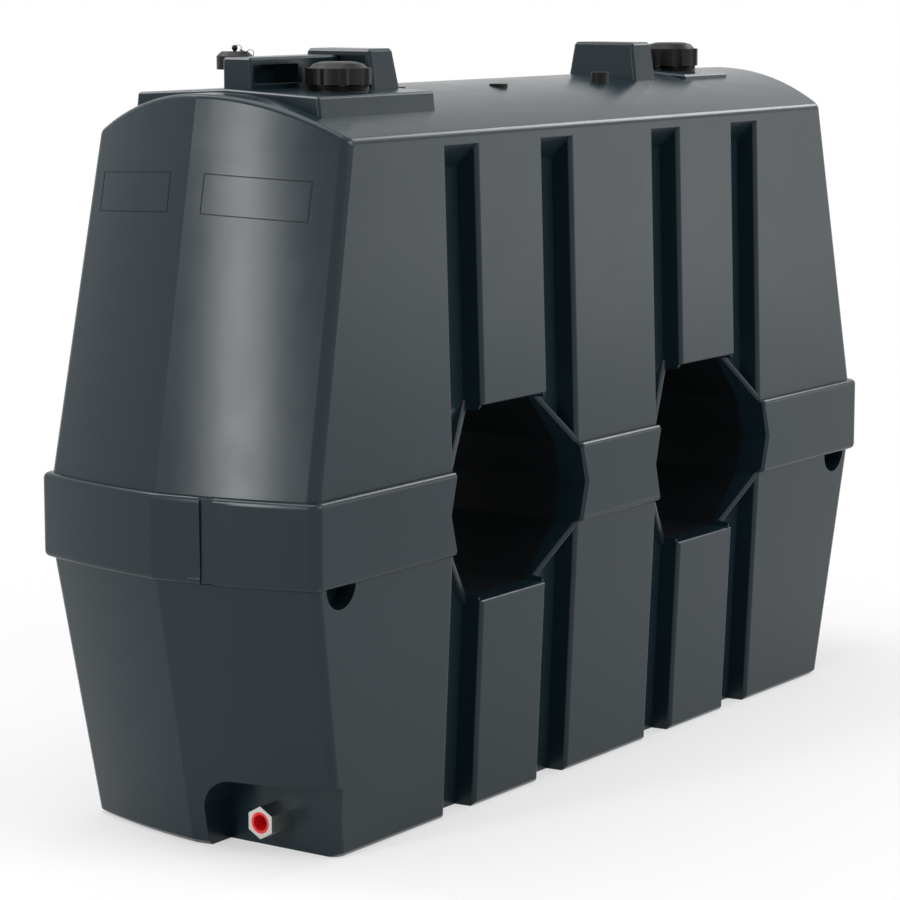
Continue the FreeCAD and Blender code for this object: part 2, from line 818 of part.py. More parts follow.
def turret(hand, start):
    """A tapered turret with bevelled edges, before its foot is seated."""
    foot = f"{hand}_turret_foot"
    body = doc.addObject("Part::Wedge", f"{hand}_turret_body")
    inset = "(turret_foot_length - turret_top_length) / 2"
    bind(body, Xmin="0", Xmax="turret_foot_length", X2min=inset, X2max=f"turret_foot_length - {inset}")
    bind(body, Ymin="0", Ymax=f"{hand}_turret_top - {foot}")
    bind(body, Zmin="0", Zmax="turret_width", Z2min="turret_slope", Z2max="turret_width - turret_slope")
    place(body, x=start, y=f"turret_width - {hand}_turret_near", z=foot, axis=(1, 0, 0), angle="90")
    return bevelled(f"{hand}_turret_block", body, foot, "turret_bevel")


left_hollow = box(
    "left_turret_hollow",
    ("-left_turret_start - lead", "-left_turret_start + turret_pocket"),
    ("-left_turret_near + 2 * turret_rim", "turret_width - left_turret_near - 2 * turret_rim"),
    ("left_turret_foot", "left_turret_top - turret_rim"),
)
left_pocketed = cut("left_turret_pocketed", turret("left", "-left_turret_start"), left_hollow)
node(seated("left_turret_piece", left_pocketed, plinth), "left_turret")
node(seated("right_turret_piece", turret("right", "right_turret_start"), roof_form), "right_turret")

guard_body = box(
    "guard_body",
    ("-guard_start", "-left_turret_start + turret_pocket"),
    ("-guard_near", "guard_far"),
    ("left_turret_foot", "guard_top"),
)
guard_block = bevelled("guard_block", guard_body, "left_turret_foot", "guard_bevel")
guard_pocket = box(
    "guard_pocket",
    ("-guard_pocket_start", "-guard_pocket_end"),
    ("-guard_near - lead", "-guard_near + guard_pocket_depth"),
    ("guard_pocket_low", "guard_pocket_high"),
)
guard_box = cut("guard_box", guard_block, guard_pocket)
guard_seat = fuse("guard_seat", [plinth, left_pocketed])
node(seated("guard_piece", guard_box, guard_seat), "left_guard_box")

# Screw caps on their necks


def plane_of(body, role):
    """A plane or axis of a body's own origin."""
    return next(item for item in body.Origin.OriginFeatures if item.Role == role)


def screw_cap(name, x, y, z, shoulder, height):
    """A hollow cap with scalloped sides and a bevelled crown."""
    body = doc.addObject("PartDesign::Body", name)
    points = [
        ("0", f"{shoulder} - cap_skin"),
        ("neck_radius", f"{shoulder} - cap_skin"),
        ("neck_radius", "0"),
        ("cap_radius", "0"),
        ("cap_radius", shoulder),
        ("cap_ledge_radius", shoulder),
        ("cap_crown_radius", height),
        ("0", height),
    ]
    section = profile(f"{name}_section", points, holder=body)
    section.AttachmentSupport = (plane_of(body, "XZ_Plane"), [""])
    section.MapMode = "FlatFace"
    turned = body.newObject("PartDesign::Revolution", f"{name}_turned")
    turned.Profile = section
    turned.ReferenceAxis = (section, ["V_Axis"])
    turned.Angle = 360
    doc.recompute()
    mark = body.newObject("Sketcher::SketchObject", f"{name}_flute_mark")
    mark.AttachmentSupport = (plane_of(body, "XY_Plane"), [""])
    mark.MapMode = "FlatFace"
    middle = FreeCAD.Vector(number("flute_place"), 0, 0)
    mark.addGeometry(Part.Circle(middle, FreeCAD.Vector(0, 0, 1), number("flute_radius")))
    mark.addConstraint(Sketcher.Constraint("PointOnObject", 0, 3, -1))
    for kind, where, text in (("DistanceX", (0, 3), "flute_place"), ("Radius", (0,), "flute_radius")):
        row = mark.addConstraint(Sketcher.Constraint(kind, *where, number(text)))
        mark.setExpression(f"Constraints[{row}]", cells(text))
    flute = body.newObject("PartDesign::Pocket", f"{name}_flute")
    flute.Profile = mark
    flute.Type = "Length"
    flute.Reversed = True
    bind(flute, Length=shoulder)
    flutes = body.newObject("PartDesign::PolarPattern", f"{name}_flutes")
    flutes.Originals = [flute]
    flutes.Axis = (plane_of(body, "Z_Axis"), [""])
    flutes.Angle = 360
    bind(flutes, Occurrences="flutes")
    body.Tip = flutes
    return place(body, x, y, z)


def neck(name, x, y, foot, shoulder, seat):
    """The collar of a filler on the roof, with the spout that its cap screws on."""
    collar = cylinder(f"{name}_collar", "collar_radius", f"{foot} - eave_height", x, y, "eave_height")
    spout = cylinder(f"{name}_spout", "neck_radius", f"{shoulder} - cap_skin", x, y, foot)
    return seated(f"{name}_piece", fuse(f"{name}_solid", [collar, spout]), seat)


for hand, seat in (("left", plinth), ("right", hatch)):
    spot = (f"{hand}_cap_x", f"{hand}_cap_y", f"{hand}_cap_foot")
    shoulder = f"{hand}_cap_shoulder"
    node(neck(f"{hand}_neck", *spot, shoulder, seat), f"{hand}_filler_neck")
    node(screw_cap(f"{hand}_screw_cap", *spot, shoulder, f"{hand}_cap_height"), f"{hand}_filler_cap")

# Vent and plugs


def upright(name, radius, low, high, x, y):
    """A standing cylinder between two levels."""
    return cylinder(name, radius, f"{high} - ({low})", x, y, low)


vent_spot = ("vent_x", "vent_y")
vent_pipe = upright("vent_pipe", "vent_radius", "eave_height", "vent_skirt_low", *vent_spot)
node(seated("vent_piece", vent_pipe, plinth), "vent_body")
vent_shoulder = "vent_skirt_low + vent_skirt_height"
vent_skirt = upright("vent_skirt", "vent_skirt_radius", "vent_skirt_low", vent_shoulder, *vent_spot)
vent_crown = doc.addObject("Part::Cone", "vent_crown")
bind(vent_crown, Radius1="vent_skirt_radius", Radius2="vent_crown_radius", Height="vent_crown_height")
place(vent_crown, *vent_spot, vent_shoulder)
vent_top = f"{vent_shoulder} + vent_crown_height"
vent_stem = upright("vent_stem", "vent_stem_radius", vent_top, f"{vent_top} + vent_stem_height", *vent_spot)
vent_lid = fuse("vent_lid", [vent_skirt, vent_crown, vent_stem])
node(vent_lid, "vent_cap")

plugs = []
for index in ("first", "second", "third"):
    spot = (f"{index}_plug_x", f"{index}_plug_y")
    blank = upright(f"{index}_plug", f"{index}_plug_radius", "eave_height", f"{index}_plug_top", *spot)
    plugs.append(seated(f"{index}_plug_piece", blank, roof_form))
node(fuse("roof_plugs_piece", plugs), "roof_plugs")

# Outlet: a hexagon socket on the recess face, closed by a dished plug
OUTLET_SPOT = {"y": "-outlet_place", "z": "outlet_height", "axis": (0, 1, 0), "angle": "-90"}
socket = doc.addObject("Part::Prism", "outlet_hexagon")
socket.Polygon = 6
bind(socket, Circumradius="hexagon_radius", Height="outlet_length")
place(socket, x="-recess_face", **OUTLET_SPOT)
bore = ("outlet_bore / 2", "outlet_length", "-recess_face")
node(cut("outlet_socket_piece", socket, cylinder("outlet_bore_tool", *bore, **OUTLET_SPOT)), "outlet_socket")
plug_dish = cylinder(
    "outlet_plug_dish",
    "outlet_bore / 2 - plug_wall",
    "plug_depth",
    x="-recess_face - outlet_length + plug_depth",
    **OUTLET_SPOT,
)
plug_blank = cylinder("outlet_plug_blank", *bore, **OUTLET_SPOT)
node(cut("outlet_plug_piece", plug_blank, plug_dish), "outlet_plug")

doc.recompute()
failed = [obj.Name for obj in doc.Objects if "Invalid" in obj.State or "Error" in obj.State]
failed += [obj.Label for obj in NODES if obj.Shape.isNull() or not obj.Shape.isValid()]
if failed:
    raise RuntimeError("not built: " + ", ".join(failed))
os.makedirs("parts", exist_ok=True)
for obj in NODES:
    obj.Shape.exportStep(f"parts/{obj.Label}.step")
    print(obj.Label, len(obj.Shape.Solids), round(obj.Shape.Volume / 1000, 1))
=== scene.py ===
"""Dresses the slimline tank in moulded plastic, with softened edges, screw caps and a steel outlet.

Rounded copies stand in for the roof, the pieces raised on it, the caps and the belt. The panels' frames,
the neck threads, the vent's keeper and the lips at the windows are new pieces. Lengths are in metres and
angles in degrees.
"""

import json
import logging
import math
from dataclasses import dataclass, field
from enum import Enum
from typing import Any, Optional, Union

import bmesh
import bpy
from mathutils import Matrix, Vector
from mathutils.bvhtree import BVHTree


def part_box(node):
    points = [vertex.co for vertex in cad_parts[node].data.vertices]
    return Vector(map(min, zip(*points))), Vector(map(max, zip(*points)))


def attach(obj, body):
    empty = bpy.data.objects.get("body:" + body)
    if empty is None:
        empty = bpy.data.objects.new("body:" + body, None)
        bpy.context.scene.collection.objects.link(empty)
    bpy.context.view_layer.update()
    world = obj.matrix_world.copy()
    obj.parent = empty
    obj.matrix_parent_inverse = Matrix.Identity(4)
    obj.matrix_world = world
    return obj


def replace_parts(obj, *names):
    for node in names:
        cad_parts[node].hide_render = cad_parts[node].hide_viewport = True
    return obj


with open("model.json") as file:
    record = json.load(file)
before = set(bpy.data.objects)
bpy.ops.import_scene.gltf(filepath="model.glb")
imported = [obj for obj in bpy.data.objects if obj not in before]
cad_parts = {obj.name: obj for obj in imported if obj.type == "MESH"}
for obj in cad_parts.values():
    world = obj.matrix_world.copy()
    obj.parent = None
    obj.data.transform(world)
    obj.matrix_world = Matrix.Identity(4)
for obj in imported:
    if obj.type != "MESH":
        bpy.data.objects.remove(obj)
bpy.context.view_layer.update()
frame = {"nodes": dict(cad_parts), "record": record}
LOG = logging.getLogger("tank")
ROOT = "root"
MERGE = 1e-6  # points closer than this are one
SMOOTH_ANGLE = 35.0
NOISE_MEAN = 0.5
QUARTER_TURN = math.tau / 4
UP = Vector((0, 0, 1))
WHITE = (1, 1, 1, 1)
Colour = tuple[float, float, float]


class Slot(Enum):
    """The material slots of the record."""

    TANK = "tank_plastic"
    CAP = "cap_plastic"
    STEEL = "fitting_steel"
    PLUG = "plug_plastic"


class Side(Enum):
    """A side of the tank, by the sign of the direction in which it looks."""

    @property
    def label(self) -> str:
        """The side's word in the names of nodes and pieces."""
        return self.name.lower()


class End(Side):
    """The two ends, which look along X."""

    LEFT = -1
    RIGHT = 1


class LongFace(Side):
    """The two long faces, which look along Y."""

    FRONT = -1
    BACK = 1


class Edges(Enum):
    """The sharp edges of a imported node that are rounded."""

    EAVES = "where a wall meets the vault"
    RAISED = "all but those round the foot"
    CROWN = "round the flat top"
    SOFTENED = "on both sides of a chamfer"


class Signal:
    """A value on a socket, with operators that add Math nodes."""

    def __init__(self, graph: "Graph", socket: Optional[bpy.types.NodeSocket]) -> None:
        """Wrap a socket of a graph."""
        self.graph = graph
        self.socket = socket

    def _math(self, operation: str, first: Any, second: Any) -> "Signal":
        """Add a Math node on two values or numbers."""
        return self.graph.node("ShaderNodeMath", {"operation": operation}, {0: first, 1: second})

    def __add__(self, other: Any) -> "Signal":
        """The sum."""
        return self._math("ADD", self, other)

    def __radd__(self, other: Any) -> "Signal":
        """The sum, from the right."""
        return self._math("ADD", other, self)

    def __sub__(self, other: Any) -> "Signal":
        """The difference."""
        return self._math("SUBTRACT", self, other)

    def __rsub__(self, other: Any) -> "Signal":
        """The difference, from the right."""
        return self._math("SUBTRACT", other, self)

    def __mul__(self, other: Any) -> "Signal":
        """The product."""
        return self._math("MULTIPLY", self, other)

    def __rmul__(self, other: Any) -> "Signal":
        """The product, from the right."""
        return self._math("MULTIPLY", other, self)

    def clamped(self) -> "Signal":
        """The value held between 0 and 1."""
        return self.graph.node("ShaderNodeClamp", {}, {"Value": self})


class Graph:
    """The node tree of a material or a world."""

    def __init__(self, tree: bpy.types.NodeTree) -> None:
        """Start from an empty tree."""
        self.tree = tree
        tree.nodes.clear()

    def node(
        self,
        kind: str,
        settings: Optional[dict[str, Any]] = None,
        inputs: Optional[dict[Union[str, int], Any]] = None,
        output: Union[str, int] = 0,
    ) -> Signal:
        """Add a node.

        Args:
            kind: The node's type.
            settings: Properties, set first.
            inputs: Values or signals by socket name or number.
            output: The output that the result stands for.

        Returns:
            The chosen output.
        """
        made = self.tree.nodes.new(kind)
        for name, value in (settings or {}).items():
            setattr(made, name, value)
        for name, value in (inputs or {}).items():
            if isinstance(value, Signal):
                self.tree.links.new(value.socket, made.inputs[name])
            else:
                made.inputs[name].default_value = value
        return Signal(self, made.outputs[output] if len(made.outputs) else None)

    def noise(self, scale: float, detail: float, roughness: float = 0.5) -> Signal:
        """Add a noise on Object coordinates.

        Args:
            scale: How many of its largest clouds lie along a metre.
            detail: How many finer layers it has.
            roughness: How strong the finer layers are.

        Returns:
            The noise, about NOISE_MEAN.
        """
        spot = self.node("ShaderNodeTexCoord", output="Object")
        values = {"Vector": spot, "Scale": scale, "Detail": detail, "Roughness": roughness}
        return self.node("ShaderNodeTexNoise", {}, values)

    def mix(self, share: Any, first: Any, second: Any) -> Signal:
        """A mix of two colours."""
        return self.node("ShaderNodeMix", {"data_type": "RGBA"}, {0: share, 6: first, 7: second}, output=2)

    def shown(self) -> Signal:
        """Tell the rays that show a thing from those that only light it.

        Returns:
            1 for a ray from the camera, a mirror or glass, and 0 for any other.
        """
        rays = ("Is Camera Ray", "Is Glossy Ray", "Is Transmission Ray")
        seen, mirrored, through = (self.node("ShaderNodeLightPath", output=ray) for ray in rays)
        return (seen + mirrored + through).clamped()


@dataclass(frozen=True)
class Finish:
    """A plain dielectric or metal finish."""

    name: str
    colour: Colour
    roughness: float
    metallic: float = 0.0
    specular: float = 0.5

    def material(self) -> bpy.types.Material:
        """Make the finish's material, or find it.

        Returns:
            The one material of this finish.
        """
        known = bpy.data.materials.get(self.name)
        if known:
            return known
        made = bpy.data.materials.new(self.name)
        made.use_nodes = True
        graph = Graph(made.node_tree)
        graph.node("ShaderNodeOutputMaterial", {}, {"Surface": self.surface(graph)})
        return made

    def surface(self, graph: Graph) -> Signal:
        """The finish's shader."""
        return graph.node("ShaderNodeBsdfPrincipled", {}, self.sockets(graph))

    def sockets(self, graph: Graph) -> dict[str, Any]:
        """The values and links of the shader's sockets."""
        return {
            "Base Color": (*self.colour, 1.0),
            "Roughness": self.roughness,
            "Metallic": self.metallic,
            "Specular IOR Level": self.specular,
        }


@dataclass(frozen=True)
class MouldedPlastic(Finish):
    """Moulded polyethylene: faint clouding in its colour and sheen, and a fine skin texture."""

    clouded: Colour = (0.02, 0.025, 0.025)
    cloud_scale: float = 3.0
    cloud_detail: float = 4.0
    wear_scale: float = 12.0
    wear_detail: float = 5.0
    wear_roughness: float = 0.6
    sheen_change: float = 0.05
    skin_scale: float = 260.0
    skin_detail: float = 2.0
    skin_strength: float = 0.04
    skin_depth: float = 0.001

    def sockets(self, graph: Graph) -> dict[str, Any]:
        """Cloud the colour, vary the sheen and roughen the skin.

        Args:
            graph: The material's nodes.

        Returns:
            The values and links of the shader's sockets.
        """
        cloud = graph.noise(self.cloud_scale, self.cloud_detail)
        skin = graph.noise(self.skin_scale, self.skin_detail)
        wear = graph.noise(self.wear_scale, self.wear_detail, self.wear_roughness)
        bump = {"Strength": self.skin_strength, "Distance": self.skin_depth, "Height": skin}
        return {
            **super().sockets(graph),
            "Base Color": graph.mix(cloud, (*self.clouded, 1.0), (*self.colour, 1.0)),
            "Roughness": self.roughness + (wear - NOISE_MEAN) * (2 * self.sheen_change),
            "Normal": graph.node("ShaderNodeBump", {}, bump),
        }


@dataclass(frozen=True)
class TurnedSteel(Finish):
    """Machined steel with fine turning marks along X."""

    mark_scale: float = 900.0
    mark_detail: float = 2.0
    mark_change: float = 0.1

    def sockets(self, graph: Graph) -> dict[str, Any]:
        """Vary the sheen along X.

        Args:
            graph: The material's nodes.

        Returns:
            The values and links of the shader's sockets.
        """
        spot = graph.node("ShaderNodeTexCoord", output="Object")
        along = graph.node("ShaderNodeSeparateXYZ", {}, {0: spot}, output="X")
        marks = {"W": along * self.mark_scale, "Detail": self.mark_detail}
        lines = graph.node("ShaderNodeTexNoise", {"noise_dimensions": "1D"}, marks)
        return {
            **super().sockets(graph),
            "Roughness": self.roughness + (lines - NOISE_MEAN) * (2 * self.mark_change),
        }


@dataclass(frozen=True)
class StudioFloor(Finish):
    """A pale floor that takes the shadow near the tank and fades to the white surroundings.

    Attributes:
        reach: The half lengths, along X and Y, of the oval that the fade is measured in.
        fade_from: Where the fade starts, in ovals.
        fade_to: Where the floor is all white, in ovals.
        near_white: The share of white inside the fade.
    """

    reach: tuple[float, float] = (1.5, 1.0)
    fade_from: float = 0.9
    fade_to: float = 2.2
    near_white: float = 0.5

    def surface(self, graph: Graph) -> Signal:
        """Mix the finish with white where it is seen or mirrored.

        Args:
            graph: The material's nodes.

        Returns:
            The finish's shader.
        """
        spot = graph.node("ShaderNodeTexCoord", output="Object")
        share = (1 / self.reach[0], 1 / self.reach[1], 0.0)
        scaled = graph.node("ShaderNodeVectorMath", {"operation": "MULTIPLY"}, {0: spot, 1: share})
        away = graph.node("ShaderNodeVectorMath", {"operation": "LENGTH"}, {0: scaled}, output="Value")
        ramp = {
            "Value": away,
            "From Min": self.fade_from,
            "From Max": self.fade_to,
            "To Min": self.near_white,
            "To Max": 1.0,
        }
        fade = graph.node("ShaderNodeMapRange", {"interpolation_type": "SMOOTHSTEP"}, ramp)
        lit = super().surface(graph)
        white = graph.node("ShaderNodeEmission", {}, {"Color": WHITE, "Strength": 1.0})
        return graph.node("ShaderNodeMixShader", {}, {0: fade * graph.shown(), 1: lit, 2: white})


TANK_FINISH = MouldedPlastic(
    "moulded_charcoal", (0.009, 0.021, 0.028), 0.25, specular=0.28, clouded=(0.006, 0.015, 0.020)
)
# The window linings are the tank's own plastic, painted darker and less glossy: painted shade inside the
# windows.
SHADED_LINING_FINISH = MouldedPlastic(
    "lining_painted_shade", (0.004, 0.006, 0.007), 0.6, specular=0.1, clouded=(0.003, 0.004, 0.005)
)
# The panels' frames are the tank's own plastic, painted darker and less glossy: a painted shade line round
# each panel.
SHADED_LINE_FINISH = Finish("panel_line_painted_shade", (0.006, 0.012, 0.015), 0.45, specular=0.13)
CAP_FINISH = MouldedPlastic(
    "cap_black", (0.006, 0.006, 0.006), 0.40, specular=0.18, clouded=(0.004, 0.004, 0.004)
)
STEEL_FINISH = TurnedSteel("outlet_steel", (0.55, 0.54, 0.51), 0.32, metallic=1.0)
CHAIN_FINISH = Finish("chain_steel", (0.16, 0.16, 0.16), 0.38, metallic=1.0)
PLUG_FINISH = Finish("plug_red", (0.72, 0.012, 0.016), 0.35)
FLOOR_FINISH = StudioFloor("floor_white", (0.86, 0.86, 0.86), 0.9)
FINISHES = {Slot.TANK: TANK_FINISH, Slot.CAP: CAP_FINISH, Slot.STEEL: STEEL_FINISH, Slot.PLUG: PLUG_FINISH}
LINED_NODES = "_window_"  # stands in the name of every window lining, which is dressed in painted shade


def piece(
    name: str, mesh: bmesh.types.BMesh, finish: Finish, smooth_angle: float = SMOOTH_ANGLE
) -> bpy.types.Object:
    """Make a finished piece that rides on the tank.

    Args:
        name: The piece's name.
        mesh: Its shape, in the row frame. It is freed.
        finish: What it is dressed in.
        smooth_angle: Edges sharper than this are shaded sharp.

    Returns:
        The object, at the origin.
    """
    bmesh.ops.remove_doubles(mesh, verts=mesh.verts[:], dist=MERGE)
    bmesh.ops.recalc_face_normals(mesh, faces=mesh.faces[:])
    for face in mesh.faces:
        face.smooth = True
    for edge in mesh.edges:
        edge.smooth = len(edge.link_faces) == 2 and edge.calc_face_angle() < math.radians(smooth_angle)
    data = bpy.data.meshes.new(name)
    mesh.to_mesh(data)
    mesh.free()
    made = bpy.data.objects.new(name, data)
    bpy.context.scene.collection.objects.link(made)
    data.materials.append(finish.material())
    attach(made, ROOT)
    LOG.info("%s: %d faces", name, len(data.polygons))
    return made


def round_edges(
    mesh: bmesh.types.BMesh, edges: list[bmesh.types.BMEdge], width: float, segments: int, clamped: bool
) -> None:
    """Round some edges of a shape.

    Args:
        mesh: The shape.
        edges: The edges to round.
        width: How far the rounding reaches from each edge.
        segments: How many flats it is made of.
        clamped: Whether roundings that would cross are made narrower.
    """
    bmesh.ops.bevel(
        mesh,
        geom=edges,
        offset=width,
        affect="EDGES",
        segments=segments,
        profile=0.5,
        material=-1,
        clamp_overlap=clamped,
    )


def spin_ring(
    mesh: bmesh.types.BMesh, section: list[bmesh.types.BMVert], centre: Vector, axis: Vector, steps: int
) -> None:
    """Spin a closed section once round an axis.

    Args:
        mesh: The shape that the section is in.
        section: The section's corners.
        centre: A point on the axis.
        axis: The axis's direction.
        steps: How many steps the turn has.
    """
    edges = list(dict.fromkeys(edge for vert in section for edge in vert.link_edges))
    bmesh.ops.spin(
        mesh,
        geom=section + edges,
        cent=centre,
        axis=axis,
        angle=math.tau,
        steps=steps,
        use_merge=True,
    )


@dataclass
class TankBody:
    """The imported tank, dressed node by node from the record's slots."""

    nodes: dict[str, bpy.types.Object]
    record: dict[str, Any]

    def dress(self) -> None:
        """Give every node the finish of its slot, and the window linings a darker, duller one: painted shade
        inside the windows.
        """
        for part in self.record["subparts"]:
            shown = self.nodes[part["node"]]
            # window linings take the darker finish that paints the shade inside the windows
            finish = SHADED_LINING_FINISH if LINED_NODES in part["node"] else FINISHES[Slot(part["material_slot"])]
            shown.data.materials.clear()
            shown.data.materials.append(finish.material())
        LOG.info("dressed %d nodes", len(self.nodes))


@dataclass
class RoundedNode:
    """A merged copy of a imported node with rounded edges, shown in its place.

    Attributes:
        node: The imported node.
        edges: Which of its edges are rounded.
        width: How far the rounding reaches from each edge.
        segments: How many flats the rounding has.
        slot: The record's slot of the node.
        clamped: Whether roundings that would cross are made narrower.
        smooth_angle: Edges sharper than this are shaded sharp.
        flat_angle: Triangles that meet at less than this are merged.
        sharp_angle: Edges flatter than this are never rounded.
        level_slope: The steepest Z of a normal that still counts as a wall's.
        top_slope: The lowest Z of a normal that counts as the vault's.
        chamfer: Between which Z values a normal counts as a chamfer's.
    """

    node: str
    edges: Edges
    width: float
    segments: int = 4
    slot: Slot = Slot.TANK
    clamped: bool = False
    smooth_angle: float = SMOOTH_ANGLE
    flat_angle: float = 0.03
    sharp_angle: float = 20.0
    level_slope: float = 0.45
    top_slope: float = 0.5
    chamfer: tuple[float, float] = (0.36, 0.95)

    def build(self) -> bpy.types.Object:
        """Copy the node, merge its triangles, and round the chosen edges.

        Returns:
            The piece that stands in for the node.
        """
        mesh = bmesh.new()
        mesh.from_mesh(frame["nodes"][self.node].data)
        bmesh.ops.remove_doubles(mesh, verts=mesh.verts[:], dist=MERGE)
        flat = math.radians(self.flat_angle)
        bmesh.ops.dissolve_limit(mesh, angle_limit=flat, verts=mesh.verts[:], edges=mesh.edges[:])
        chosen = [edge for edge in mesh.edges if edge.is_manifold and self._is_chosen(edge)]
        round_edges(mesh, chosen, self.width, self.segments, self.clamped)
        made = piece(f"{self.node}_rounded", mesh, FINISHES[self.slot], self.smooth_angle)
        even = made.modifiers.new("flat_faces", "WEIGHTED_NORMAL")
        even.keep_sharp = True
        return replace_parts(made, self.node)

    def _is_chosen(self, edge: bmesh.types.BMEdge) -> bool:
        """Tell the edges to round from the rest.

        Args:
            edge: An edge between two faces.

        Returns:
            Whether it is rounded.
        """
        if edge.calc_face_angle() < math.radians(self.sharp_angle):
            return False
        low, high = sorted(face.normal.z for face in edge.link_faces)
        if self.edges is Edges.CROWN:
            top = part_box(self.node)[1].z
            return all(vert.co.z > top - MERGE for vert in edge.verts)
        if self.edges is Edges.EAVES:
            return abs(low) < self.level_slope and high > self.top_slope
        if self.edges is Edges.SOFTENED:
            return any(self.chamfer[0] < abs(slope) < self.chamfer[1] for slope in (low, high))
        return low > -self.level_slope


@dataclass
class EndPanel:
    """A bare panel on one half of a bowed end, marked by a thin frame that falls a little outwards.

    Attributes:
        end: The end that the panel is on.
        half: The long face that its half of the end is next to.
        near: The inner side's distance from the end's middle.
        far: The outer side's distance from the end's middle.
        low: The level of the lower side.
        high: The level of the upper side.
        fall: How much lower the outer side is.
        shift: How far both panels of an end are moved along Y.
        line: The frame's width.
        proud: How far the frame is raised from the end, and sunk in it.
        columns: How many cells the grid has along Y.
        rows: How many cells the grid has along Z.
        stand_off: The distance along X from which the grid is draped.
    """

    end: End
    half: LongFace
    near: float = 0.038
    far: float = 0.238
    low: float = 1.137
    high: float = 1.208
    fall: float = 0.010
    shift: float = 0.007
    line: float = 0.0019
    proud: float = 0.0004
    columns: int = 48
    rows: int = 16
    stand_off: float = 2.0

    def build(self) -> bpy.types.Object:
        """Drape a grid on the end, keep its rim, and raise it.

        Returns:
            The frame.
        """
        mesh = bmesh.new()
        bmesh.ops.create_grid(mesh, x_segments=self.columns, y_segments=self.rows, size=0.5)
        middle = self.half.value * (self.near + self.far) / 2 + self.shift
        level = (self.low + self.high) / 2
        for vert in mesh.verts:
            across = self._place(vert.co.x, self.columns, self.far - self.near)
            up = self._place(vert.co.y, self.rows, self.high - self.low)
            up -= self.fall * (self.half.value * vert.co.x + 0.5)
            vert.co = Vector((self.end.value * self.stand_off, middle + across, level + up))
        surface = BVHTree.FromPolygons(*self._surface())
        inward = Vector((-self.end.value, 0, 0))
        for vert in mesh.verts:
            vert.co = surface.ray_cast(vert.co, inward)[0] + inward * self.proud
        inside = [face for face in mesh.faces if not any(vert.is_boundary for vert in face.verts)]
        bmesh.ops.delete(mesh, geom=inside, context="FACES")
        raised = bmesh.ops.extrude_face_region(mesh, geom=mesh.faces[:])
        top = [item for item in raised["geom"] if isinstance(item, bmesh.types.BMVert)]
        bmesh.ops.translate(mesh, verts=top, vec=-2 * self.proud * inward)
        # the frame is dressed in the painted shade line's finish
        return piece(f"{self.end.label}_panel_{self.half.label}", mesh, SHADED_LINE_FINISH)

    def _place(self, share: float, count: int, length: float) -> float:
        """Where a grid line lies along a side, with the outermost cells as wide as the frame.

        Args:
            share: The line's place in an even grid, from -0.5 to 0.5.
            count: How many cells the side has.
            length: The side's length.

        Returns:
            The distance from the side's middle.
        """
        if abs(share) > 0.5 - 0.5 / count:
            return share * length
        return share * (length - 2 * self.line) / (1 - 2 / count)

    def _surface(self) -> tuple[list[Vector], list[list[int]]]:
        """The corners and faces of the end that the panel lies on."""
        data = frame["nodes"][f"{self.end.label}_end_upper"].data
        return [vert.co.copy() for vert in data.vertices], [list(face.vertices) for face in data.polygons]


@dataclass
class NeckThread:
    """The thread that shows on a filler's neck under its cap.

    Attributes:
        end: The end that the filler is near.
        turns: How many ridges show.
        pitch: The distance from ridge to ridge.
        first: How far below the cap the first ridge lies, in pitches.
        ridge: How far a ridge stands out, and half its height.
        steps: How many steps a ridge has round the neck.
    """

    end: End
    turns: int = 3
    pitch: float = 0.0035
    first: float = 0.6
    ridge: float = 0.0016
    steps: int = 64

    def build(self) -> bpy.types.Object:
        """Spin a small ridge round the neck for each turn.

        Returns:
            The ridges.
        """
        neck = f"{self.end.label}_filler_neck"
        low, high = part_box(neck)
        cap_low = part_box(f"{self.end.label}_filler_cap")[0]
        centre = (low + high) / 2
        radius = (high.x - low.x) / 2
        mesh = bmesh.new()
        for number in range(self.turns):
            level = cap_low.z - (number + self.first) * self.pitch
            self._ridge(mesh, Vector((centre.x, centre.y, level)), radius)
        return piece(f"{neck}_thread", mesh, CAP_FINISH)

    def _ridge(self, mesh: bmesh.types.BMesh, centre: Vector, radius: float) -> None:
        """Add one ridge with a three-sided section.

        Args:
            mesh: The mesh that takes the ridge.
            centre: The point on the neck's axis at the ridge's level.
            radius: The neck's radius.
        """
        corners = ((0.0, self.ridge), (self.ridge, 0.0), (0.0, -self.ridge))
        section = [mesh.verts.new(centre + Vector((radius + out, 0, up))) for out, up in corners]
        for vert, after in zip(section, section[1:] + section[:1]):
            mesh.edges.new((vert, after))
        spin_ring(mesh, section, centre, UP, self.steps)


